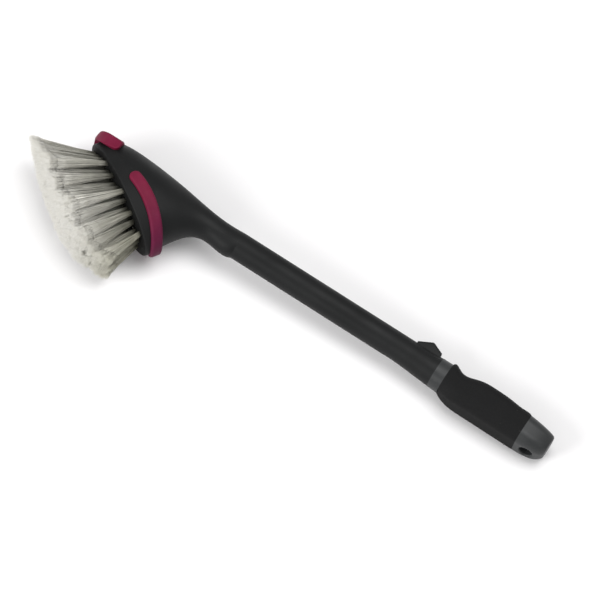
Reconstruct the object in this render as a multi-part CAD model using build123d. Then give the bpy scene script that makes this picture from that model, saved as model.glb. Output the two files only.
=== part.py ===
from build123d import *
import os
from math import atan2, cos, degrees, hypot, radians, sin, sqrt, tan

# Long-reach wheel brush, lying on its side as it rests on a bench.
#
# It is drawn in its own design frame and then laid down. In the design frame X runs along
# the handle from the toe of the head to the butt of the grip, Y points from the bristles to
# the back of the head, and Z is the side to side direction. Y = 0 is the handle's axis.

# ---- driving dimensions, in millimetres and degrees ----
TOTAL_LENGTH = 468.0        # toe of the head to the butt of the end cap

# head
FACE_TILT = 32.2            # slope of the bristle face to the handle
FACE_TOE = (-0.9, 5.05)      # toe end of the face line
FACE_LENGTH = 109.6
HEAD_HALF_WIDTH = 30.5
BLOCK_THICKNESS = 11.2
BLOCK_ROUND = 1.6           # rounded rim of the bristle face
BLOCK_LIP = 3.0             # height of the step that locates the block in the housing
WALL = 3.0
FIT_GAP = 0.1               # all round gap between parts that slide together
REACH = 100.0               # longer than any cut has to run

# rod
NECK_END_X = 127.0
NECK_RUN = 25.0             # straight run that ends the neck's loft
ROD_HALF_HEIGHT = 12.2
ROD_HALF_WIDTH = 11.8
ROD_END_X = 305.0           # where the rod starts to thicken towards the grip

# rubber bumpers
BUMPER_PROUD = 3.3
BUMPER_ROUND = 2.4
SIDE_BUMPER_START = 46.9    # along the face from the toe
SIDE_BUMPER_HEIGHT = 11.0
SIDE_BUMPER_LOW = 6.8       # its lower edge above the face where it starts
SIDE_BUMPER_CREST = (73.4, 10.4)
SIDE_BUMPER_HEEL = 1.2      # its lower edge above the face at the heel
SIDE_BUMPER_END_TRIM = 0.4  # how much flatter its ends are than a half circle
TOE_BUMPER_TIP = (-2.7, 13.2)
TOE_BUMPER_CHIN = (1.2, 4.6)    # where its front starts, seen from the side
TOE_BUMPER_BROW = (3.4, 22.5)   # and where it ends
TOE_BUMPER_END = (23.5, 2.6)
TOE_BUMPER_TOP = 19.2       # of its dome, which spans the toe from side to side
TOE_BUMPER_DOME = (15.2, 31.0)
TOE_BUMPER_HALF_WIDTH = 30.0
TOE_BUMPER_HALF_LENGTH = 42.0
TOE_BUMPER_ROUND = 4.0
TOE_ARCH_PEAK = 13.3        # its lower edge is an arch over the end of the block
TOE_ARCH_SLOPE = 25.0
TOE_ARCH_ROUND = 8.0

# tufts
ROW_COUNT = 15
ROW_START = 7.8
ROW_PITCH = 6.2
TUFT_PITCH = 12.0           # side to side; every other row is set over by half of this
TUFT_MARGIN = 6.2           # from the edge of the block to the outermost tuft's centre
HOLE_RADIUS = 2.8
HOLE_DEPTH = 7.0
TUFT_RADIUS = 2.7
TUFT_TIP_RADIUS = 4.7
SIDE_SPLAY = 4.6            # outward lean of the outermost tufts
TOE_LEAN = 31.0             # lean of the first row towards the toe
HEEL_LEAN = -15.0           # lean of the last row, away from the toe
TOE_TUFT_LENGTH = 54.8
TUFT_BULGE = 8.0            # most extra length, two thirds of the way to the heel
HEEL_TUFT_LENGTH = 42.0

# staples and screws
STAPLE_WIDTH = 4.4
STAPLE_HEIGHT = 1.4
STAPLE_THICKNESS = 0.4
STAPLE_GAP = 0.1            # under the staple and over it
SCREW_ROWS = (4, 12)        # rows whose middle tuft gives way to a screw
SCREW_HEAD_RADIUS = 3.2
SCREW_HEAD_HEIGHT = 2.4
SCREW_HEAD_SINK = 3.0
SCREW_RADIUS = 1.7
SCREW_LENGTH = 19.0
SCREW_GRIP = 0.05           # how much wider the pilot hole is than the screw
SCREW_GAP = 0.2             # round the screw in the block
SCREW_SLOT = (4.0, 0.8, 1.2)
SCREW_HEAD_ROUND = 0.8
BOSS_RADIUS = 4.5

# thumb rest, collar, grip and end cap
RIDGE_FRONT_X = 326.0
RIDGE_PEAK = (338.0, 18.8)
RIDGE_BACK_X = 349.0
RIDGE_HALF_WIDTH = 8.5
COLLAR_START_X = 352.3
GRIP_START_X = 362.4
GRIP_END_X = 441.8
GRIP_HALF_WIDTH = 16.5
SPIGOT_RADIUS = 10.4
SPIGOT_BORE = 7.4
SPIGOT_Y = -3.0
SPIGOT_TAPER = 10.0         # where the hollow of the rod narrows to the spigot's
PLUG_LENGTH = 14.0
HANG_HOLE_X = 453.2
HANG_HOLE_Y = -5.9          # middle of its wall
HANG_HOLE_RADIUS = 5.8
HANG_HOLE_ROUND = 1.6


# ---- helpers ----
def face_point(along, above):
    """A point in the X-Y plane, from its place along the bristle face and above it."""
    slope = radians(FACE_TILT)
    x = FACE_TOE[0] + along * cos(slope) + above * sin(slope)
    y = FACE_TOE[1] - along * sin(slope) + above * cos(slope)
    return x, y


def face_plane(along, above):
    """A plane parallel to the bristle face: X towards the heel, Z towards the back."""
    slope = radians(FACE_TILT)
    x, y = face_point(along, above)
    return Plane(
        origin=(x, y, 0),
        x_dir=(cos(slope), -sin(slope), 0),
        z_dir=(sin(slope), cos(slope), 0),
    )


def face_ellipse(grow):
    """The plan outline of the head, centred on the face, made larger by grow."""
    return Ellipse(FACE_LENGTH / 2 + grow, HEAD_HALF_WIDTH + grow)


def face_half_width(along):
    """Half the width of the plan outline at a place along the face."""
    share = (along - FACE_LENGTH / 2) / (FACE_LENGTH / 2)
    return HEAD_HALF_WIDTH * sqrt(1 - share**2)


def on_face(shape, above):
    """Put a shape drawn about the middle of the face onto it, at a height above it."""
    return face_plane(FACE_LENGTH / 2, above) * shape


def row_place(row):
    """Where a row of tufts crosses the face, from the toe."""
    return ROW_START + row * ROW_PITCH


# ---- head and rod ----
def head_loft(grow):
    """The wedge from the rim of the housing round to the rod, made larger by grow.

    Its sections fan out from the line where the plane of the rim meets the plane of the
    neck's end, so that they turn smoothly from the one plane to the other.
    """
    rim_x, rim_y = face_point(0, BLOCK_THICKNESS)
    slope = radians(FACE_TILT)
    to_pivot = (NECK_END_X - rim_x) / cos(slope)
    pivot_y = rim_y - to_pivot * sin(slope)
    rim_inner = to_pivot - FACE_LENGTH
    neck_inner = -ROD_HALF_HEIGHT - pivot_y
    neck_outer = ROD_HALF_HEIGHT - pivot_y
    full_turn = 90 - FACE_TILT
    # turn from the rim, inner and outer reach from the pivot, half width
    stations = [
        (0.0, rim_inner, to_pivot, HEAD_HALF_WIDTH),
        (5.0, rim_inner + 1.4, 136.2, 30.0),
        (13.0, rim_inner + 3.8, 117.4, 27.6),
        (28.0, rim_inner + 8.4, 92.6, 21.0),
        (43.0, rim_inner + 14.2, 79.5, 14.8),
        (full_turn, neck_inner, neck_outer, ROD_HALF_WIDTH),
    ]
    faces = []
    for turn, inner, outer, half_width in stations:
        bearing = radians(180 - FACE_TILT - turn)
        middle = (inner + outer) / 2
        plane = Plane(
            origin=(NECK_END_X + middle * cos(bearing), pivot_y + middle * sin(bearing), 0),
            x_dir=(cos(bearing), sin(bearing), 0),
            z_dir=(sin(bearing), -cos(bearing), 0),
        )
        faces.append(plane * Ellipse((outer - inner) / 2 + grow, half_width + grow))
    faces.append(rod_section(NECK_END_X + NECK_RUN, grow))
    return loft(faces)


def cross_plane(x, y):
    """A plane across the handle: X towards the back, Z towards the butt."""
    return Plane(origin=(x, y, 0), x_dir=(0, 1, 0), z_dir=(1, 0, 0))


def rod_section(x, grow):
    return cross_plane(x, 0) * Ellipse(ROD_HALF_HEIGHT + grow, ROD_HALF_WIDTH + grow)


def rod_length(grow):
    """The straight rod between the neck and the flare."""
    start = NECK_END_X + NECK_RUN
    return extrude(rod_section(start, grow), ROD_END_X - start)


def rod_flare(grow):
    """The rod thickens a little towards the collar."""
    return loft([
        rod_section(ROD_END_X, grow),
        rod_section(ROD_END_X + 12, grow),
        cross_plane(336.0, -0.7) * Ellipse(12.9 + grow, 12.4 + grow),
        cross_plane(COLLAR_START_X, -1.2) * Ellipse(13.6 + grow, 13.0 + grow),
    ])


def handle_section(x, top, bottom, half_width, corner):
    """A rounded rectangle across the handle, from its top and bottom."""
    return cross_plane(x, (top + bottom) / 2) * RectangleRounded(
        top - bottom, 2 * half_width, corner
    )


def thumb_ridge():
    """The raised rest that stops the thumb ahead of the grip."""
    profile = make_face(
        Polyline(
            (RIDGE_FRONT_X, 8.0),
            (RIDGE_FRONT_X, 12.0),
            RIDGE_PEAK,
            (RIDGE_BACK_X, 13.8),
            (RIDGE_BACK_X, 8.0),
            close=True,
        )
    )
    ridge = extrude(profile, RIDGE_HALF_WIDTH, both=True)
    peak = ridge.edges().filter_by(Axis.Z).sort_by(Axis.Y)[-1]
    ridge = fillet(peak, 2.0)
    shoulders = [
        e for e in ridge.edges()
        if abs(abs(e.center().Z) - RIDGE_HALF_WIDTH) < 0.01 and e.center().Y > 12.5
    ]
    return fillet(shoulders, 2.5)


def handle_body():
    """Housing, neck, rod and spigot: one hollow moulding."""
    body = head_loft(0) + rod_length(0) + rod_flare(0) + thumb_ridge()
    spigot_length = GRIP_END_X - COLLAR_START_X
    body += cross_plane(COLLAR_START_X, SPIGOT_Y) * extrude(Circle(SPIGOT_RADIUS), spigot_length)
    hollow = head_loft(-WALL) + rod_length(-WALL)
    hollow += loft([
        rod_section(ROD_END_X, -WALL),
        cross_plane(COLLAR_START_X - SPIGOT_TAPER, SPIGOT_Y) * Ellipse(SPIGOT_BORE, SPIGOT_BORE),
        cross_plane(GRIP_END_X, SPIGOT_Y) * Ellipse(SPIGOT_BORE, SPIGOT_BORE),
    ], ruled=True)
    shell = body - hollow
    for row in SCREW_ROWS:
        place = face_plane(row_place(row), BLOCK_THICKNESS + BLOCK_LIP)
        boss = place * extrude(Circle(BOSS_RADIUS), REACH)
        pilot = place * extrude(Circle(SCREW_RADIUS + SCREW_GRIP), SCREW_LENGTH - BLOCK_THICKNESS)
        shell += (boss & head_loft(-WALL / 2)) - pilot
    return shell


# ---- bristle block ----
def block():
    """The plate that carries the tufts; it closes the housing."""
    plate = on_face(extrude(face_ellipse(0), BLOCK_THICKNESS), 0)
    face_rim = plate.edges().group_by(lambda e: face_height(e.center()))[0]
    plate = fillet(face_rim, BLOCK_ROUND)
    lip = on_face(extrude(face_ellipse(-WALL - FIT_GAP), BLOCK_LIP), BLOCK_THICKNESS)
    plate += lip & head_loft(-WALL - FIT_GAP)
    for row in range(ROW_COUNT):
        for side in tuft_places(row):
            depth = tuft_frame(row, side, -HOLE_DEPTH)
            plate -= depth * extrude(Circle(HOLE_RADIUS), 2 * HOLE_DEPTH)
    for row in SCREW_ROWS:
        place = face_plane(row_place(row), 0)
        plate -= place * extrude(Circle(SCREW_HEAD_RADIUS + 2 * SCREW_GAP), SCREW_HEAD_SINK)
        plate -= place * extrude(Circle(SCREW_RADIUS + SCREW_GAP), SCREW_LENGTH)
    return plate


def face_height(point):
    """Height of a point above the plane of the bristle face."""
    slope = radians(FACE_TILT)
    return round((point.X - FACE_TOE[0]) * sin(slope) + (point.Y - FACE_TOE[1]) * cos(slope), 3)


# ---- tufts ----
def tuft_places(row):
    """Side to side places of the tufts in a row."""
    limit = face_half_width(row_place(row)) - TUFT_MARGIN
    start = TUFT_PITCH / 2 if row % 2 else 0.0
    places = []
    side = start
    while side <= limit:
        if side > 0:
            places += [-side, side]
        elif row not in SCREW_ROWS:
            places.append(0.0)
        side += TUFT_PITCH
    return sorted(places)


def tuft_direction(row, side):
    """Unit vector along a tuft, out of the face."""
    share = row / (ROW_COUNT - 1)
    lean = TOE_LEAN + (HEEL_LEAN - TOE_LEAN) * share
    bearing = radians(270 - FACE_TILT - lean)
    splay = radians(SIDE_SPLAY * side / (HEAD_HALF_WIDTH - TUFT_MARGIN))
    return Vector(cos(bearing) * cos(splay), sin(bearing) * cos(splay), sin(splay))


def tuft_frame(row, side, shift):
    """A plane across a tuft, at a distance along it from the face."""
    along = row_place(row)
    x, y = face_point(along, 0)
    direction = tuft_direction(row, side)
    origin = Vector(x, y, side) + direction * shift
    return Plane(origin=origin, z_dir=direction)


def tuft_length(row):
    """Trimmed length beyond the face: longest behind the middle, shortest at the heel."""
    share = row / (ROW_COUNT - 1)
    straight = TOE_TUFT_LENGTH + (HEEL_TUFT_LENGTH - TOE_TUFT_LENGTH) * share
    swell = 27 / 4 * share**2 * (1 - share)     # 0 at both ends, and 1 at two thirds
    return straight + TUFT_BULGE * swell


def tuft_row(row):
    """One row across the head: each tuft is a bundle that flares from root to tip."""
    on_base = (Align.CENTER, Align.CENTER, Align.MIN)
    held = HOLE_DEPTH - STAPLE_HEIGHT
    root = Cylinder(TUFT_RADIUS, held, align=on_base)
    flare = Cone(TUFT_RADIUS, TUFT_TIP_RADIUS, tuft_length(row), align=on_base)
    tuft = root + Pos(0, 0, held) * flare
    return Compound([tuft_frame(row, side, -held) * tuft for side in tuft_places(row)])


def tuft_anchors():
    """The flat wire staples that hold the folded tufts at the bottom of their holes."""
    staples = []
    for row in range(ROW_COUNT):
        for side in tuft_places(row):
            staple = Box(
                STAPLE_WIDTH, STAPLE_THICKNESS, STAPLE_HEIGHT - 2 * STAPLE_GAP,
                align=(Align.CENTER, Align.CENTER, Align.MIN),
            )
            staples.append(tuft_frame(row, side, STAPLE_GAP - HOLE_DEPTH) * staple)
    return Compound(staples)


def block_screws():
    """Pan-head self-tapping screws that hold the block to the bosses in the housing."""
    screws = []
    for row in SCREW_ROWS:
        place = face_plane(row_place(row), SCREW_HEAD_SINK - SCREW_HEAD_HEIGHT)
        head = extrude(Circle(SCREW_HEAD_RADIUS), SCREW_HEAD_HEIGHT)
        head = fillet(head.edges().sort_by(Axis.Z)[0], SCREW_HEAD_ROUND)
        slot_length, slot_width, slot_depth = SCREW_SLOT
        for angle in (0, 90):
            head -= Rot(0, 0, angle) * Box(slot_length, slot_width, 2 * slot_depth)
        shank = extrude(Circle(SCREW_RADIUS), SCREW_LENGTH)
        screws.append(place * (head + shank))
    return Compound(screws)


# ---- bumpers ----
def head_core():
    """The head's outside brought in by half a wall, so that the bumpers sit in a step."""
    return head_loft(-WALL / 2) + on_face(extrude(face_ellipse(-WALL / 2), BLOCK_THICKNESS), 0)


def side_bumper():
    """The rubber band round both sides and the heel, over the joint of block and housing.

    Its edges bow towards the back between the sides and the heel.
    """
    start = SIDE_BUMPER_START - FACE_LENGTH / 2
    crest = SIDE_BUMPER_CREST[0] - FACE_LENGTH / 2
    heel = FACE_LENGTH / 2 + 2 * BUMPER_PROUD
    low = [(start, SIDE_BUMPER_LOW), (crest, SIDE_BUMPER_CREST[1]), (heel, SIDE_BUMPER_HEEL)]
    high = [(along, above + SIDE_BUMPER_HEIGHT) for along, above in low]
    profile = make_face([
        ThreePointArc(*low),
        Line(low[2], high[2]),
        ThreePointArc(high[2], high[1], high[0]),
        Line(high[0], low[0]),
    ])
    corners = profile.vertices().group_by(Axis.X)[0]
    profile = fillet(corners, SIDE_BUMPER_HEIGHT / 2 - SIDE_BUMPER_END_TRIM)
    mask = extrude(Plane.XZ * profile, REACH, both=True)
    band = extrude(face_ellipse(BUMPER_PROUD), REACH) & mask
    rims = [e for e in band.edges() if e.center().X > start + 6 or abs(e.center().Y) > 20]
    band = fillet(rims, BUMPER_ROUND)
    return on_face(band, 0) - head_core()


def toe_bumper():
    """The rubber nose over the upper edge of the toe, arched over the end of the block."""
    middle = TOE_BUMPER_TIP[0] + TOE_BUMPER_HALF_LENGTH
    plan = Ellipse(TOE_BUMPER_HALF_LENGTH, TOE_BUMPER_HALF_WIDTH)
    nose = Pos(middle, TOE_BUMPER_TOP, 0) * Rot(90, 0, 0) * extrude(plan, REACH)
    dome = cross_plane(-REACH / 2, TOE_BUMPER_TOP - TOE_BUMPER_DOME[0]) * Ellipse(*TOE_BUMPER_DOME)
    nose &= extrude(dome, REACH)
    end_x, end_y = TOE_BUMPER_END
    brow_x, brow_y = TOE_BUMPER_BROW
    profile = make_face([
        Line(TOE_BUMPER_END, TOE_BUMPER_CHIN),
        ThreePointArc(TOE_BUMPER_CHIN, TOE_BUMPER_TIP, TOE_BUMPER_BROW),
        Line(TOE_BUMPER_BROW, (brow_x, REACH)),
        Line((brow_x, REACH), (end_x, REACH)),
        Line((end_x, REACH), TOE_BUMPER_END),
    ])
    low_end = profile.vertices().filter_by(lambda v: v.X > end_x - 1 and v.Y < brow_y)
    profile = fillet(low_end, TOE_BUMPER_ROUND)
    nose &= extrude(profile, REACH, both=True)
    fall = REACH * tan(radians(TOE_ARCH_SLOPE))
    arch = make_face(
        FilletPolyline(
            (-REACH, -REACH),
            (TOE_ARCH_PEAK - fall, -REACH),
            (TOE_ARCH_PEAK, 0),
            (TOE_ARCH_PEAK - fall, REACH),
            (-REACH, REACH),
            radius=TOE_ARCH_ROUND,
            close=True,
        )
    )
    nose -= cross_plane(-REACH / 2, 0) * extrude(arch, REACH)
    return nose - head_core()


# ---- collar, grip and end cap ----
def collar_ring():
    """The hard glossy ring between the rod and the rubber grip."""
    ring = loft([
        cross_plane(COLLAR_START_X, -1.2) * Ellipse(13.8, 13.2),
        cross_plane(GRIP_START_X, -1.6) * Ellipse(14.1, 13.5),
    ])
    bore = cross_plane(COLLAR_START_X, SPIGOT_Y) * extrude(Circle(SPIGOT_RADIUS + FIT_GAP), REACH)
    return ring - bore


def grip_sleeve():
    """The soft sleeve: waisted at the front, humped under the palm, straight below."""
    # top, bottom, half width, corner radius, at equal steps along the sleeve
    stations = [
        (11.9, -14.8, 13.6, 11.0),
        (8.8, -18.6, 15.2, 10.4),
        (8.7, -19.6, 16.0, 10.0),
        (11.4, -19.6, 16.4, 10.0),
        (12.0, -19.6, GRIP_HALF_WIDTH, 10.0),
        (11.8, -19.7, GRIP_HALF_WIDTH, 10.0),
        (11.0, -19.8, GRIP_HALF_WIDTH, 10.0),
        (9.9, -19.9, GRIP_HALF_WIDTH, 10.0),
        (8.6, -19.9, GRIP_HALF_WIDTH, 10.0),
    ]
    step = (GRIP_END_X - GRIP_START_X) / (len(stations) - 1)
    places = [GRIP_START_X + number * step for number in range(len(stations))]
    sleeve = loft([handle_section(x, *station) for x, station in zip(places, stations)])
    bore = cross_plane(GRIP_START_X, SPIGOT_Y) * extrude(Circle(SPIGOT_RADIUS + FIT_GAP), REACH)
    return sleeve - bore


def on_hole_rim(edge):
    """Whether an edge goes round the hang hole's wall, rather than along it."""
    gaps = [
        abs(hypot(point.X - HANG_HOLE_X, point.Z) - HANG_HOLE_RADIUS)
        for point in (edge @ 0, edge @ 0.5, edge @ 1)
    ]
    return max(gaps) < 0.01 and edge.geom_type != GeomType.LINE


def end_cap():
    """The hard butt cap, with its plug inside the spigot and the hole it hangs by."""
    # x, top, bottom, half width, corner radius
    stations = [
        (GRIP_END_X, 8.6, -19.9, GRIP_HALF_WIDTH, 10.0),
        (449.0, 7.8, -19.8, 16.1, 9.8),
        (456.0, 7.0, -19.3, 15.0, 9.4),
        (463.0, 6.2, -17.6, 12.8, 8.8),
        (TOTAL_LENGTH, 5.0, -13.8, 9.8, 7.6),
    ]
    cap = loft([handle_section(*station) for station in stations])
    cap = fillet(cap.faces().sort_by(Axis.X)[-1].edges(), 2.6)
    plug = cross_plane(GRIP_END_X - PLUG_LENGTH, SPIGOT_Y) * extrude(
        Circle(SPIGOT_BORE - FIT_GAP), PLUG_LENGTH
    )
    hole = Pos(HANG_HOLE_X, 0, 0) * Rot(90, 0, 0) * Cylinder(HANG_HOLE_RADIUS, REACH)
    cap = cap - hole
    cap = fillet([e for e in cap.edges() if on_hole_rim(e)], HANG_HOLE_ROUND)
    return cap + plug


# ---- assembly ----
def build_nodes():
    toe = toe_bumper()
    side = side_bumper()
    housing = handle_body() - toe - side
    plate = block() - toe - side
    nodes = {
        "handle_body": housing,
        "bristle_block": plate,
        "side_bumper": side,
        "toe_bumper": toe,
        "tuft_anchors": tuft_anchors(),
        "block_screws": block_screws(),
        "collar_ring": collar_ring(),
        "grip_sleeve": grip_sleeve(),
        "end_cap": end_cap(),
    }
    for row in range(ROW_COUNT):
        nodes[f"tuft_row_{row + 1:02d}"] = tuft_row(row)
    return nodes


def lay_down(nodes):
    """Turn the brush so that its widest bumper and the side of its grip touch the bench.

    The handle drops towards the butt; the turn is about Y, so the hang hole stays along Y.
    The origin goes under the middle of the bounding box.
    """
    widest_x = face_point(FACE_LENGTH / 2, SIDE_BUMPER_CREST[1])[0]
    drop = HEAD_HALF_WIDTH + BUMPER_PROUD - GRIP_HALF_WIDTH
    tilt = degrees(atan2(drop, GRIP_END_X - widest_x))
    tilted = {name: Rot(0, tilt, 0) * shape for name, shape in nodes.items()}
    box = Compound(list(tilted.values())).bounding_box()
    shift = Pos(-(box.min.X + box.max.X) / 2, -(box.min.Y + box.max.Y) / 2, -box.min.Z)
    hole = shift * Rot(0, tilt, 0) * Vertex(HANG_HOLE_X, HANG_HOLE_Y, 0)
    print("tilt", round(tilt, 3), "size", box.size, "hang hole at", hole.center())
    return {name: shift * shape for name, shape in tilted.items()}


def main():
    nodes = lay_down(build_nodes())
    os.makedirs("parts", exist_ok=True)
    for name, shape in nodes.items():
        export_step(shape, f"parts/{name}.step")
        low = shape.bounding_box().min.Z
        print(name, round(shape.volume), len(shape.solids()), "lowest", round(low, 2))


main()
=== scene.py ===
import math

import bmesh
import bpy
import numpy as np
from mathutils import Matrix, Vector


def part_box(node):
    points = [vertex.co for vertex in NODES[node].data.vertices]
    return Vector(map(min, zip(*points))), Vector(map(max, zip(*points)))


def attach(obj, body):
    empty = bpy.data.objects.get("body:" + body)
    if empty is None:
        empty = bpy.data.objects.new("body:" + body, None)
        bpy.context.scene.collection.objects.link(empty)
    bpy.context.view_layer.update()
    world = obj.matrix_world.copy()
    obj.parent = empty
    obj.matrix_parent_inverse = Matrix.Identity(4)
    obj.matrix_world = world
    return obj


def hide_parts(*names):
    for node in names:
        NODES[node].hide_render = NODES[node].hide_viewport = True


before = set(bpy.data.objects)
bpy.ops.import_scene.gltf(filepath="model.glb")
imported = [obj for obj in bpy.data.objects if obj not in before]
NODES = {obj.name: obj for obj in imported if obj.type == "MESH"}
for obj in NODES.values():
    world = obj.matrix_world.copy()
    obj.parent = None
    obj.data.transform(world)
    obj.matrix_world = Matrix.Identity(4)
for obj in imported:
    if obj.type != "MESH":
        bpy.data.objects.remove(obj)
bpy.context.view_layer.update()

# A long-reach wheel brush lying on its side. Everything is in metres, in the frame of the
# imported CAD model: +X along the handle towards its butt, +Y from the bristles towards the back
# of the head, +Z up.

MM = 0.001
BODY = "root"
SEED = 20
SAME_POINT = 0.001 * MM

# Camera: the directions of its picture's right and up, the point it looks at as a step from the
# middle of the end cap's box, the width of the view there, and its lens.
CAMERA_RIGHT = Vector((0.84556, 0.52266, 0.10882))
CAMERA_UP = Vector((-0.51394, 0.74173, 0.43092))
CAMERA_TARGET = Vector((-223.30, -12.42, 22.94)) * MM
CAMERA_VIEW_WIDTH = 508.8 * MM
CAMERA_LENS = 300.0
CAMERA_SENSOR = 36.0
CAMERA_FAR = 50.0

# Studio: each light's name, place, size and power, and the world's light and backdrop.
LIGHTS = (
    ("overhead", (0.25, 0.35, 1.7), 1.1, 17),
    ("left_fill", (-1.1, -1.6, 1.1), 1.2, 36),
)
LIGHT_AIM = (0, 0, 0.03)
AMBIENT_STRENGTH = 0.55
BACKDROP_STRENGTH = 0.96
FLOOR_HALF_WIDTH = 6.0

# Bristles: each tuft is a bunch of filaments whose ends are split ("flagged") into finer strands.
FILAMENTS = 170
FILAMENT_START = 3.5 * MM       # above the held end of the tuft
FILAMENT_RADIUS = 0.21 * MM
FILAMENT_TAPER = 0.85
ROOT_SPREAD = 0.78              # shares of the CAD tuft's radius at its two ends
TIP_SPREAD = 1.66
TIP_CROWDING = 0.85             # below 1, filaments crowd towards the outside of the bunch
OPENING = 1.6                   # 1 where the bunch is a straight cone; more keeps its root narrow
CURVE_STATIONS = 25
STEM_STATIONS = 6
CRIMP = 0.28 * MM
CRIMP_LENGTH = 9.0 * MM
CRIMP_RISE = 3                  # the crimp grows to its full size over a third of the length
SPLIT_LENGTH = 10.0 * MM
STRANDS = 4
STRAND_STATIONS = 4
STRAND_RADIUS = 0.15 * MM
STRAND_TIP_RADIUS = 0.07 * MM
STRAND_SPREAD = 0.9 * MM
STRAND_OPENING = 1.4
STRAND_SHORTFALL = 0.05         # how much shorter than its filament a strand can be
STRAY_SHARE = 0.05
STRAY_SPREAD = 2.2 * MM

# The trimmed ends of the bristles.
TIP_REACH = 1.0 * MM            # past the trim surface
TIP_SCATTER = 0.8 * MM
TRIM_PASSES = 4
TRIM_LEAST_SLOPE = 0.4
TRIM_UNIT = 0.05                # about half the head's length, so that the surface's terms are near 1
EDGE_START = 0.70               # share of the way to the sides where the surface starts to round off
EDGE_SPAN = 0.4
EDGE_DROP = 22 * MM

# Painted shade at the roots: tufts inside the brush are painted darker towards the block, standing in for
# the shade between them.
ROOT_SHADE_DEPTH = 19 * MM
RIM_SHARE = 1.02
RIM_FADE = 5

# Reading the tufts' ends from the CAD model.
END_SLICE = 0.3 * MM
END_BAND = 0.5 * MM
BLOCK_FACE = 7 * MM             # from the middle of the held ends to the face of the block

FLOOR_CLEARANCE = 0.3 * MM
FLOOR_SOFTNESS = 1.5 * MM

# Soft moulded edges: the gap its corners are joined over, the size of the skin's cells, and how
# often they are averaged.
SKIN_JOIN = 0.01 * MM
SKIN_VOXEL = 0.35 * MM
SKIN_PASSES = 36


# ---------------------------------------------------------------- directions taken from the CAD model

def face_centres(node):
    """The centres and areas of a CAD node's faces."""
    polygons = NODES[node].data.polygons
    area = np.empty(len(polygons))
    centre = np.empty(len(polygons) * 3)
    polygons.foreach_get("area", area)
    polygons.foreach_get("center", centre)
    return centre.reshape(-1, 3), area


def symmetry_plane(node):
    """The centre and unit normal of the plane that splits a CAD node into a left and a right half."""
    centre, area = face_centres(node)
    middle = np.average(centre, axis=0, weights=area)
    spread = np.cov((centre - middle).T, aweights=area)
    vectors = np.linalg.eigh(spread)[1]
    normal = vectors[:, np.argmax(np.abs(vectors[2]))]
    return middle, normal * np.sign(normal[2])


MIDDLE, SIDEWAYS = symmetry_plane("handle_body")
ALONG = np.array([SIDEWAYS[2], 0.0, -SIDEWAYS[0]])
ALONG /= np.linalg.norm(ALONG)


# ---------------------------------------------------------------- materials

class Shade:
    """A Principled material, with short calls that add the nodes driving it."""

    def __init__(self, name):
        self.material = bpy.data.materials.new(name)
        self.material.use_nodes = True
        self.tree = self.material.node_tree
        self.shader = self.tree.nodes["Principled BSDF"]
        self.place = self.add("ShaderNodeTexCoord").outputs["Object"]

    def add(self, kind, inputs=None, **settings):
        """A node with its settings, and its inputs set to a value or linked to an output."""
        node = self.tree.nodes.new(kind)
        for key, value in settings.items():
            setattr(node, key, value)
        for key, value in (inputs or {}).items():
            self.put(node.inputs[key], value)
        return node

    def put(self, socket, value):
        if isinstance(value, bpy.types.NodeSocket):
            self.tree.links.new(value, socket)
        else:
            socket.default_value = value

    def set(self, **values):
        """Inputs of the shader, named with underscores for spaces."""
        for key, value in values.items():
            self.put(self.shader.inputs[key.replace("_", " ")], value)

    def noise(self, size, detail=2.0, roughness=0.5, place=None):
        """Noise from 0 to 1 whose features are about size metres wide."""
        inputs = {"Vector": place or self.place, "Scale": 1 / size}
        inputs |= {"Detail": detail, "Roughness": roughness}
        return self.add("ShaderNodeTexNoise", inputs).outputs["Fac"]

    def cells(self, size, place=None):
        """The distance to the nearest of points about size metres apart, as a share of that."""
        inputs = {"Vector": place or self.place, "Scale": 1 / size}
        return self.add("ShaderNodeTexVoronoi", inputs).outputs["Distance"]

    def between(self, value, low, high, to_low=0.0, to_high=1.0):
        """value mapped from low..high to to_low..to_high, and held there."""
        inputs = {"Value": value, "From Min": low, "From Max": high}
        inputs |= {"To Min": to_low, "To Max": to_high}
        return self.add("ShaderNodeMapRange", inputs, clamp=True).outputs["Result"]

    def sums(self, operation, a, b=0.0):
        node = self.add("ShaderNodeMath", operation=operation)
        self.put(node.inputs[0], a)
        self.put(node.inputs[1], b)
        return node.outputs[0]

    def mix(self, share, a, b):
        """Colour a where share is 0 and b where it is 1."""
        node = self.add("ShaderNodeMix", data_type="RGBA")
        self.put(node.inputs["Factor"], share)
        for socket, value in ((node.inputs[6], a), (node.inputs[7], b)):
            self.put(socket, value if isinstance(value, bpy.types.NodeSocket) else (*value, 1.0))
        return node.outputs[2]

    def reach(self, direction, start=(0, 0, 0)):
        """How far a point lies from start in a direction, in metres."""
        moved = self.add("ShaderNodeVectorMath", operation="SUBTRACT")
        self.put(moved.inputs[0], self.place)
        self.put(moved.inputs[1], tuple(start))
        node = self.add("ShaderNodeVectorMath", operation="DOT_PRODUCT")
        self.put(node.inputs[0], moved.outputs[0])
        self.put(node.inputs[1], tuple(direction))
        return node.outputs["Value"]

    def bump(self, height, distance, strength=1.0):
        """Adds height, from 0 to 1, as a bump of distance metres on top of any bump there is."""
        inputs = {"Height": height, "Distance": distance, "Strength": strength}
        node = self.add("ShaderNodeBump", inputs)
        normal = self.shader.inputs["Normal"]
        if normal.is_linked:
            self.put(node.inputs["Normal"], normal.links[0].from_socket)
        self.put(normal, node.outputs["Normal"])


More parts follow.
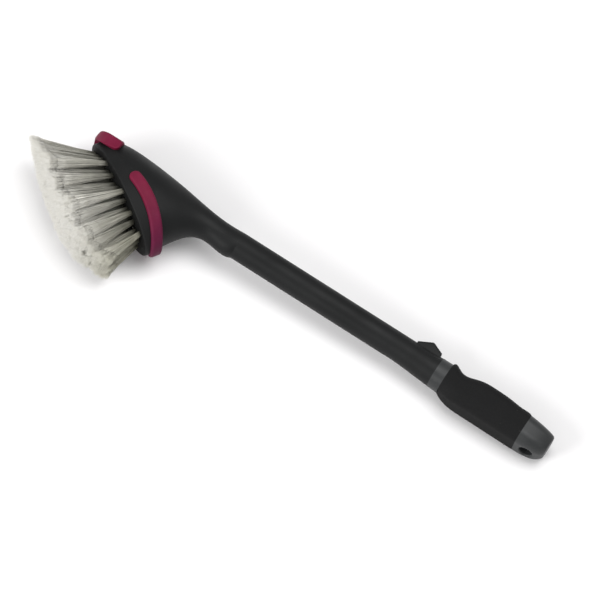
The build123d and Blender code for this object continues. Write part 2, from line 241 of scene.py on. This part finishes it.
def stretched(shade, direction, by):
    """Coordinates squeezed along a direction, so that a pattern on them runs by times longer that way."""
    reach = shade.reach(direction)
    scaled = shade.add("ShaderNodeVectorMath", operation="SCALE")
    scaled.inputs[0].default_value = tuple(direction)
    shade.put(scaled.inputs["Scale"], shade.sums("MULTIPLY", reach, 1 / by - 1))
    moved = shade.add("ShaderNodeVectorMath", operation="ADD")
    shade.put(moved.inputs[0], shade.place)
    shade.put(moved.inputs[1], scaled.outputs[0])
    return moved.outputs[0]


def moulded_plastic():
    """Black polypropylene with a spark-eroded grain, a mould parting line and light scuffs."""
    shade = Shade("moulded_plastic")
    cloud = shade.noise(42 * MM, 3.0)
    grain = shade.noise(0.55 * MM, 3.0, 0.6)
    scuff_place = stretched(shade, ALONG, 14)
    scuffs = shade.between(shade.noise(1.3 * MM, 2.0, 0.5, scuff_place), 0.64, 0.72)
    patches = shade.between(shade.noise(26 * MM, 2.0), 0.46, 0.62)
    scuffs = shade.sums("MULTIPLY", scuffs, patches)
    base = shade.mix(shade.between(cloud, 0.3, 0.7), (0.0036, 0.0040, 0.0042), (0.0068, 0.0073, 0.0075))
    base = shade.mix(shade.between(grain, 0.45, 0.75, 0.0, 0.35), base, (0.014, 0.0148, 0.015))
    base = shade.mix(shade.sums("MULTIPLY", scuffs, 0.30), base, (0.040, 0.040, 0.039))
    rough = shade.between(shade.noise(18 * MM, 3.0), 0.3, 0.7, 0.47, 0.58)
    rough = shade.sums("ADD", rough, shade.sums("MULTIPLY", scuffs, 0.10))
    shade.set(Base_Color=base, Roughness=rough, Specular_IOR_Level=0.19)
    seam = shade.sums("ABSOLUTE", shade.reach(SIDEWAYS, MIDDLE))
    shade.bump(shade.between(seam, 0.09 * MM, 0.32 * MM, 1.0, 0.0), 0.12 * MM, 0.8)
    shade.bump(grain, 0.05 * MM, 0.55)
    return shade.material


def block_plastic():
    """The brush block's duller black plastic, with a coarser grain."""
    shade = Shade("block_plastic")
    grain = shade.noise(0.7 * MM, 4.0, 0.6)
    cloud = shade.noise(20 * MM, 3.0)
    base = shade.mix(shade.between(cloud, 0.3, 0.7), (0.0055, 0.0058, 0.0060), (0.0095, 0.0098, 0.0098))
    base = shade.mix(shade.between(grain, 0.5, 0.8, 0.0, 0.4), base, (0.018, 0.018, 0.0175))
    shade.set(Base_Color=base, Roughness=shade.between(cloud, 0.3, 0.7, 0.52, 0.64), Specular_IOR_Level=0.15)
    shade.bump(grain, 0.06 * MM, 0.6)
    return shade.material


def bumper_rubber(middle):
    """Crimson soft rubber: faint mottling, fine pits, paler rubbed spots, and painted shade on the heel.

    The painted shade darkens the heel with the distance along the handle from middle.
    """
    shade = Shade("bumper_rubber")
    cloud = shade.noise(16 * MM, 3.0)
    pits = shade.cells(0.9 * MM)
    grain = shade.noise(0.35 * MM, 2.0)
    rubbed = shade.between(shade.noise(7 * MM, 4.0, 0.6), 0.56, 0.74)
    base = shade.mix(shade.between(cloud, 0.3, 0.7), (0.128, 0.0052, 0.0262), (0.166, 0.0082, 0.0360))
    base = shade.mix(shade.sums("MULTIPLY", rubbed, 0.25), base, (0.200, 0.020, 0.060))
    base = shade.mix(shade.between(pits, 0.10, 0.24, 0.35, 0.0), base, (0.075, 0.004, 0.018))
    # Painted shade: the heel end of the bumper turns darker and more purple, standing in for its side turned
    # away from the light.
    painted_heel_shade = shade.between(shade.reach(ALONG, middle), 20 * MM, 52 * MM)
    base = shade.mix(shade.sums("MULTIPLY", painted_heel_shade, 0.6), base, (0.042, 0.0065, 0.032))
    rough = shade.between(shade.noise(9 * MM, 3.0), 0.3, 0.7, 0.52, 0.66)
    shade.set(Base_Color=base, Roughness=rough, Specular_IOR_Level=0.15)
    shade.bump(shade.between(pits, 0.08, 0.26), 0.05 * MM, 0.5)
    shade.bump(grain, 0.03 * MM, 0.5)
    return shade.material


def grip_rubber():
    """Matt black grip rubber: a fine stipple, a dusty bloom and a few specks of lint."""
    shade = Shade("grip_rubber")
    cloud = shade.noise(22 * MM, 4.0, 0.55)
    stipple = shade.cells(0.8 * MM)
    lint = shade.between(shade.cells(6.5 * MM, stretched(shade, ALONG, 2.2)), 0.035, 0.06, 1.0, 0.0)
    base = shade.mix(shade.between(cloud, 0.32, 0.7), (0.0028, 0.0029, 0.0031), (0.0056, 0.0057, 0.0059))
    base = shade.mix(shade.between(stipple, 0.15, 0.5, 0.0, 0.35), base, (0.0130, 0.0130, 0.0132))
    base = shade.mix(shade.sums("MULTIPLY", lint, 0.5), base, (0.045, 0.045, 0.043))
    rough = shade.between(cloud, 0.3, 0.7, 0.66, 0.80)
    shade.set(Base_Color=base, Roughness=rough, Specular_IOR_Level=0.15)
    shade.bump(shade.between(stipple, 0.1, 0.55), 0.09 * MM, 0.55)
    return shade.material


def trim_plastic():
    """Glossier charcoal plastic of the collar and end cap, with hand smudges and hairline scratches."""
    shade = Shade("trim_plastic")
    smudge = shade.noise(11 * MM, 4.0, 0.6)
    hairlines = shade.between(shade.noise(0.5 * MM, 2.0, 0.5, stretched(shade, ALONG, 30)), 0.63, 0.70)
    grain = shade.noise(0.4 * MM, 2.0)
    base = shade.mix(shade.between(smudge, 0.3, 0.7), (0.020, 0.0215, 0.0225), (0.028, 0.0295, 0.030))
    base = shade.mix(shade.sums("MULTIPLY", hairlines, 0.25), base, (0.060, 0.060, 0.058))
    rough = shade.between(smudge, 0.3, 0.72, 0.38, 0.52)
    rough = shade.sums("ADD", rough, shade.sums("MULTIPLY", hairlines, 0.12))
    shade.set(Base_Color=base, Roughness=rough, Specular_IOR_Level=0.34)
    shade.bump(grain, 0.02 * MM, 0.35)
    return shade.material


def metal(name, light, dark, roughness):
    """Plated steel, with a cloudy tarnish and fine drawing lines."""
    shade = Shade(name)
    cloud = shade.noise(2.5 * MM, 4.0, 0.6)
    lines = shade.noise(0.25 * MM, 2.0, 0.5, stretched(shade, ALONG, 8))
    base = shade.mix(shade.between(cloud, 0.35, 0.7), light, dark)
    rough = shade.between(lines, 0.3, 0.7, roughness, roughness + 0.18)
    shade.set(Base_Color=base, Roughness=rough, Metallic=1.0)
    shade.bump(lines, 0.01 * MM, 0.4)
    return shade.material


def bristle_fibre(outward, face):
    """Pale grey nylon, with painted shade that makes it darker and olive near the block, between the inner
    tufts' roots and at the heel; lightest at its ends.

    outward is the way the bristles stand, and face is the middle of the face they stand on.
    """
    shade = Shade("bristle_fibre")
    # Painted shade: the fibre colour runs from dark olive at the block to pale at the ends, standing in for
    # the shade among the roots.
    height = shade.reach(outward, face)
    grown = shade.sums("ADD", height, shade.between(shade.noise(9 * MM, 2.0), 0.3, 0.7, -5 * MM, 5 * MM))
    ramp = shade.add("ShaderNodeValToRGB", {"Fac": shade.between(grown, 0.0, 62 * MM)})
    stops = ramp.color_ramp.elements
    stops[0].position, stops[0].color = 0.0, (0.330, 0.324, 0.275, 1)
    stops[1].position, stops[1].color = 1.0, (0.80, 0.792, 0.765, 1)
    for position, colour in ((0.32, (0.60, 0.592, 0.535, 1)), (0.68, (0.80, 0.79, 0.745, 1))):
        stop = stops.new(position)
        stop.color = colour
    tone = shade.add("ShaderNodeAttribute", attribute_name="tone").outputs["Fac"]
    streak = shade.noise(3.2 * MM, 3.0, 0.6, stretched(shade, outward, 7))
    tint = shade.mix(shade.between(streak, 0.3, 0.7), (0.94, 0.93, 0.90), (1.0, 1.0, 1.0))
    tint = shade.mix(shade.between(tone, 0.0, 1.0, 0.0, 0.22), tint, (0.55, 0.54, 0.50))
    # Painted shade: bristles towards the heel are darker and more olive, where less light falls.
    heel = shade.between(shade.reach(ALONG, face), -5 * MM, 50 * MM)
    tint = shade.mix(shade.sums("MULTIPLY", heel, 0.75), tint, (0.50, 0.49, 0.38))
    # Painted shade: the inner tufts' filaments turn nearly black near the block.
    painted_root_shade = shade.add("ShaderNodeAttribute", attribute_name="painted_root_shade").outputs["Fac"]
    tint = shade.mix(painted_root_shade, tint, (0.06, 0.06, 0.05))
    base = shade.add("ShaderNodeMix", data_type="RGBA", blend_type="MULTIPLY")
    shade.put(base.inputs["Factor"], 1.0)
    shade.put(base.inputs[6], ramp.outputs["Color"])
    shade.put(base.inputs[7], tint)
    rough = shade.between(streak, 0.3, 0.7, 0.42, 0.58)
    shade.set(Base_Color=base.outputs[2], Roughness=rough, Specular_IOR_Level=0.45)
    shade.bump(shade.noise(0.3 * MM, 2.0), 0.01 * MM, 0.4)
    return shade.material


# ---------------------------------------------------------------- bristles

def loose_parts(node):
    """The separate shells of a CAD node, each as an array of its points."""
    shape = bmesh.new()
    shape.from_mesh(NODES[node].data)
    bmesh.ops.remove_doubles(shape, verts=shape.verts, dist=SAME_POINT)
    parts, seen = [], set()
    for start in shape.verts:
        if start in seen:
            continue
        seen.add(start)
        queue, part = [start], []
        while queue:
            corner = queue.pop()
            part.append(corner.co[:])
            for edge in corner.link_edges:
                other = edge.other_vert(corner)
                if other not in seen:
                    seen.add(other)
                    queue.append(other)
        parts.append(np.array(part))
    shape.free()
    return parts


def ring_centre(points):
    """The middle of a ring's box."""
    return (points.min(axis=0) + points.max(axis=0)) / 2


def tuft_ends(points):
    """(radius, centre) of a tuft's held end and of its free end, which is the wider."""
    middle = points.mean(axis=0)
    axis = np.linalg.svd(points - middle, full_matrices=False)[2][0]
    for _ in range(2):
        along = (points - middle) @ axis
        low = ring_centre(points[along < along.min() + END_SLICE])
        high = ring_centre(points[along > along.max() - END_SLICE])
        middle, axis = (low + high) / 2, (high - low) / np.linalg.norm(high - low)
    ends = []
    for centre in (low, high):
        near = np.abs((points - centre) @ axis) < END_BAND
        away = points[near] - centre
        away -= np.outer(away @ axis, axis)
        ends.append((np.linalg.norm(away, axis=1).max(), centre))
    return sorted(ends, key=lambda end: end[0])


def trim_surface(tips, outward, middle):
    """A smooth surface through the tufts' free ends, as a function giving a point's height below it."""
    forward = np.cross(SIDEWAYS, outward)
    forward /= np.linalg.norm(forward)

    def terms(points):
        s = (points - middle) @ forward / TRIM_UNIT
        t = (points - middle) @ SIDEWAYS / TRIM_UNIT
        return np.stack([np.ones_like(s), s, s**2, s**3, s**4, t, t**2, s * t**2], axis=-1)

    centre = (tips.max(axis=0) + tips.min(axis=0)) / 2
    reach = np.abs((tips - centre) @ SIDEWAYS).max()

    def rounding(points):
        place = np.abs((points - centre) @ SIDEWAYS) / reach
        return EDGE_DROP * np.clip(place - EDGE_START, 0, EDGE_SPAN) ** 2

    weights = np.linalg.lstsq(terms(tips), (tips - middle) @ outward, rcond=None)[0]
    return lambda points: terms(points) @ weights - rounding(points) - (points - middle) @ outward


def smooth_floor(points):
    """Points lifted softly so that none goes under the floor."""
    height = points[..., 2] - FLOOR_CLEARANCE
    eased = (height + np.sqrt(height**2 + FLOOR_SOFTNESS**2)) / 2
    blend = np.clip(1 - height / (6 * FLOOR_SOFTNESS), 0, 1)
    points[..., 2] += (eased - height) * blend
    return points


ASKEW = np.array([0.31, 0.77, -0.56])   # along none of the filaments


def sweep(paths, radii, sides=3):
    """Points and faces of tubes along paths of shape (tubes, stations, 3)."""
    tubes, stations = paths.shape[:2]
    tangent = np.gradient(paths, axis=1)
    tangent /= np.linalg.norm(tangent, axis=-1, keepdims=True)
    across = np.cross(tangent, ASKEW)
    across /= np.linalg.norm(across, axis=-1, keepdims=True)
    third = np.cross(tangent, across)
    turn = np.arange(sides) * 2 * math.pi / sides
    ring = across[:, :, None] * np.cos(turn)[:, None] + third[:, :, None] * np.sin(turn)[:, None]
    points = paths[:, :, None] + ring * np.asarray(radii)[None, :, None, None]
    index = np.arange(tubes * stations * sides).reshape(tubes, stations, sides)
    low, high = index[:, :-1], index[:, 1:]
    walls = np.stack([low, np.roll(low, -1, 2), np.roll(high, -1, 2), high], axis=-1).reshape(-1, 4)
    caps = np.concatenate([index[:, 0, ::-1], index[:, -1]])
    return points.reshape(-1, 3), walls, caps


def tuft_paths(root, tip, root_radius, tip_radius, below_trim, random):
    """Stem paths and strand paths of one tuft's filaments."""
    axis = (tip - root) / np.linalg.norm(tip - root)
    across = np.cross(axis, SIDEWAYS)
    across /= np.linalg.norm(across)
    third = np.cross(axis, across)
    share = np.sqrt(random.random(FILAMENTS))
    turn = random.random(FILAMENTS) * 2 * math.pi
    radial = np.outer(np.cos(turn), across) + np.outer(np.sin(turn), third)
    start = root + axis * FILAMENT_START + radial * (share * root_radius * ROOT_SPREAD)[:, None]
    spread = (share**TIP_CROWDING * tip_radius * TIP_SPREAD)[:, None]
    wander = random.normal(size=(FILAMENTS, 3)) * TIP_SCATTER
    astray = (random.random(FILAMENTS) < STRAY_SHARE)[:, None]
    stray = astray * random.normal(size=(FILAMENTS, 3)) * STRAY_SPREAD
    end = tip + radial * spread + wander + stray
    heading = (end - start) / np.linalg.norm(end - start, axis=1, keepdims=True)
    slope = np.maximum(heading @ OUTWARD, TRIM_LEAST_SLOPE)[:, None]
    for _ in range(TRIM_PASSES):
        end = end + heading * (below_trim(end) + TIP_REACH)[:, None] / slope
    end += heading * random.normal(size=(FILAMENTS, 1)) * TIP_SCATTER
    length = np.linalg.norm(end - start, axis=1)
    # The stem leaves its hole along the hole and then opens out, with a light crimp.
    whole = np.linspace(0, 1, CURVE_STATIONS)
    phase = random.random((FILAMENTS, 2)) * 2 * math.pi
    wave = 2 * math.pi * whole[None, :] * (length / CRIMP_LENGTH)[:, None]
    crimp = np.sin(wave + phase[:, :1])[..., None] * across
    crimp = crimp + np.sin(wave + phase[:, 1:])[..., None] * third
    crimp = crimp * CRIMP * np.minimum(whole * CRIMP_RISE, 1)[None, :, None]
    opened = whole**OPENING
    straight = start[:, None] + axis * (whole[None, :] * ((end - start) @ axis)[:, None])[..., None]
    sideways = (end - start) - np.outer((end - start) @ axis, axis)
    curve = smooth_floor(straight + sideways[:, None] * opened[None, :, None] + crimp)

    def at(where):
        """Points of each filament's curve at shares of its length, of shape (filaments, shares)."""
        place = where * (len(whole) - 1)
        low = np.clip(place.astype(int), 0, len(whole) - 2)
        rest = (place - low)[..., None]
        rows = np.arange(FILAMENTS)[:, None]
        return curve[rows, low] * (1 - rest) + curve[rows, low + 1] * rest

    split = 1 - SPLIT_LENGTH / length
    stems = at(split[:, None] * np.linspace(0, 1, STEM_STATIONS)[None, :])
    strands = []
    for number in range(STRANDS):
        around = turn + number * 2 * math.pi / STRANDS + random.random(FILAMENTS)
        push = np.outer(np.cos(around), across) + np.outer(np.sin(around), third)
        push = push * (STRAND_SPREAD * (0.4 + random.random(FILAMENTS)))[:, None]
        reach = 1 - random.random(FILAMENTS) * STRAND_SHORTFALL
        steps = np.linspace(0, 1, STRAND_STATIONS)
        where = split[:, None] + (reach - split)[:, None] * steps[None, :]
        apart = push[:, None] * (steps**STRAND_OPENING)[None, :, None]
        strands.append(smooth_floor(at(where) + apart))
    return stems, np.concatenate(strands)


def hidden_share(root):
    """How deep in the brush a tuft stands: 0 at the rim of the bristle field, 1 well inside it."""
    axes = np.array([np.cross(SIDEWAYS, OUTWARD), SIDEWAYS])
    reach = np.abs((ROOTS - ROOT_MIDDLE) @ axes.T).max(axis=0)
    place = axes @ (root - ROOT_MIDDLE) / reach
    return float(np.clip((RIM_SHARE - np.hypot(*place)) * RIM_FADE, 0, 1))


def bristle_row(node, number, below_trim, material):
    """The filaments of one row of tufts, which stand for that row's CAD node."""
    random = np.random.default_rng(SEED + number)
    points, walls, caps, tones, painted_root_shades = [], [], [], [], []
    count = 0
    for (root_radius, root), (tip_radius, tip) in ROWS[node]:
        hidden = hidden_share(root)
        stems, strands = tuft_paths(root, tip, root_radius, tip_radius, below_trim, random)
        tone = random.random(FILAMENTS) ** 2
        stem_radii = np.linspace(FILAMENT_RADIUS, FILAMENT_RADIUS * FILAMENT_TAPER, STEM_STATIONS)
        strand_radii = np.linspace(STRAND_RADIUS, STRAND_TIP_RADIUS, STRAND_STATIONS)
        for paths, radii, tubes in ((stems, stem_radii, 1), (strands, strand_radii, STRANDS)):
            some, quads, ends = sweep(paths, radii)
            points.append(some)
            walls.append(quads + count)
            caps.append(ends + count)
            tones.append(np.repeat(np.tile(tone, tubes), paths.shape[1] * 3))
            # Painted shade among the inner tufts' roots, fading with the height above the root.
            height = np.maximum((some - root) @ OUTWARD, 0)
            painted_root_shades.append(hidden * np.exp(-height / ROOT_SHADE_DEPTH))
            count += len(some)
    mesh = bpy.data.meshes.new(node.replace("tuft", "bristle"))
    faces = np.concatenate(walls).tolist() + np.concatenate(caps).tolist()
    mesh.from_pydata(np.concatenate(points).tolist(), [], faces)
    for name, values in (("tone", tones), ("painted_root_shade", painted_root_shades)):
        attribute = mesh.attributes.new(name, "FLOAT", "POINT")
        attribute.data.foreach_set("value", np.concatenate(values))
    mesh.polygons.foreach_set("use_smooth", np.ones(len(mesh.polygons), bool))
    mesh.materials.append(material)
    piece = bpy.data.objects.new(node.replace("tuft", "bristle"), mesh)
    bpy.context.scene.collection.objects.link(piece)
    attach(piece, BODY)
    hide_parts(node)
    return piece


ROWS = {
    name: [tuft_ends(part) for part in loose_parts(name)]
    for name in sorted(NODES)
    if name.startswith("tuft_row")
}
ROOTS = np.array([held[1] for row in ROWS.values() for held, free in row])
TIPS = np.array([free[1] for row in ROWS.values() for held, free in row])
ROOT_MIDDLE = ROOTS.mean(axis=0)
OUTWARD = np.linalg.svd(ROOTS - ROOT_MIDDLE, full_matrices=False)[2][2]
OUTWARD *= np.sign(OUTWARD @ (TIPS.mean(axis=0) - ROOT_MIDDLE))
BELOW_TRIM = trim_surface(TIPS, OUTWARD, ROOT_MIDDLE)
FIBRE = bristle_fibre(OUTWARD, ROOT_MIDDLE + OUTWARD * BLOCK_FACE)
for order, row in enumerate(ROWS, 1):
    bristle_row(row, order, BELOW_TRIM, FIBRE)


# ---------------------------------------------------------------- finishes of the carried-over CAD parts

def finish_node(node, material):
    materials = NODES[node].data.materials
    materials.clear()
    materials.append(material)


def soften(node):
    """Rounds the edges of a moulded rubber part over by about a millimetre."""
    modifiers = NODES[node].modifiers
    modifiers.new("joined", "WELD").merge_threshold = SKIN_JOIN
    skin = modifiers.new("skin", "REMESH")
    skin.mode = "VOXEL"
    skin.voxel_size = SKIN_VOXEL
    skin.use_smooth_shade = True
    smooth = modifiers.new("rounded", "SMOOTH")
    smooth.factor = 0.5
    smooth.iterations = SKIN_PASSES


TRIM = trim_plastic()
BUMPER = bumper_rubber(ROOT_MIDDLE)
finish_node("handle_body", moulded_plastic())
finish_node("bristle_block", block_plastic())
finish_node("side_bumper", BUMPER)
finish_node("toe_bumper", BUMPER)
soften("toe_bumper")
finish_node("grip_sleeve", grip_rubber())
finish_node("collar_ring", TRIM)
finish_node("end_cap", TRIM)
finish_node("block_screws", metal("screw_steel", (0.62, 0.61, 0.59), (0.40, 0.39, 0.37), 0.28))
finish_node("tuft_anchors", metal("anchor_wire", (0.55, 0.55, 0.54), (0.33, 0.32, 0.30), 0.40))


# ---------------------------------------------------------------- floor, lights and camera

def pale_floor():
    """A wide, plain, nearly white floor."""
    half = FLOOR_HALF_WIDTH
    corners = [(-half, -half, 0), (half, -half, 0), (half, half, 0), (-half, half, 0)]
    mesh = bpy.data.meshes.new("floor")
    mesh.from_pydata(corners, [], [(0, 1, 2, 3)])
    shade = Shade("floor")
    shade.set(Base_Color=(0.90, 0.893, 0.897, 1), Roughness=0.9, Specular_IOR_Level=0.1)
    mesh.materials.append(shade.material)
    floor = bpy.data.objects.new("floor", mesh)
    bpy.context.scene.collection.objects.link(floor)


def soft_light(name, place, size, power):
    """A square soft box that faces the brush."""
    data = bpy.data.lights.new(name, "AREA")
    data.size = size
    data.energy = power
    light = bpy.data.objects.new(name, data)
    light.location = place
    light.rotation_mode = "QUATERNION"
    light.rotation_quaternion = (Vector(LIGHT_AIM) - Vector(place)).to_track_quat("-Z", "Y")
    bpy.context.scene.collection.objects.link(light)


def surroundings(strength, seen):
    """Even pale light from all round, and a pale backdrop beyond the floor."""
    world = bpy.data.worlds.new("studio")
    world.use_nodes = True
    tree = world.node_tree
    light = tree.nodes["Background"]
    light.inputs["Strength"].default_value = strength
    light.inputs["Color"].default_value = (1, 1, 1, 1)
    backdrop = tree.nodes.new("ShaderNodeBackground")
    backdrop.inputs["Strength"].default_value = seen
    path = tree.nodes.new("ShaderNodeLightPath")
    mix = tree.nodes.new("ShaderNodeMixShader")
    tree.links.new(path.outputs["Is Camera Ray"], mix.inputs[0])
    tree.links.new(light.outputs[0], mix.inputs[1])
    tree.links.new(backdrop.outputs[0], mix.inputs[2])
    tree.links.new(mix.outputs[0], tree.nodes["World Output"].inputs["Surface"])
    bpy.context.scene.world = world


def camera():
    """The product camera: a long lens looking down at the brush from its bristle side."""
    data = bpy.data.cameras.new("camera")
    data.lens = CAMERA_LENS
    data.sensor_width = CAMERA_SENSOR
    data.clip_end = CAMERA_FAR
    back = CAMERA_RIGHT.cross(CAMERA_UP)
    distance = CAMERA_VIEW_WIDTH * CAMERA_LENS / CAMERA_SENSOR
    cap_low, cap_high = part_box("end_cap")
    target = (Vector(cap_low) + Vector(cap_high)) / 2 + CAMERA_TARGET
    spot = target + back * distance
    axes = Matrix((CAMERA_RIGHT, CAMERA_UP, back)).transposed().to_4x4()
    eye = bpy.data.objects.new("camera", data)
    eye.matrix_world = Matrix.Translation(spot) @ axes
    bpy.context.scene.collection.objects.link(eye)
    bpy.context.scene.camera = eye


pale_floor()
for light in LIGHTS:
    soft_light(*light)
surroundings(AMBIENT_STRENGTH, BACKDROP_STRENGTH)
camera()
bpy.context.scene.view_settings.view_transform = "Standard"
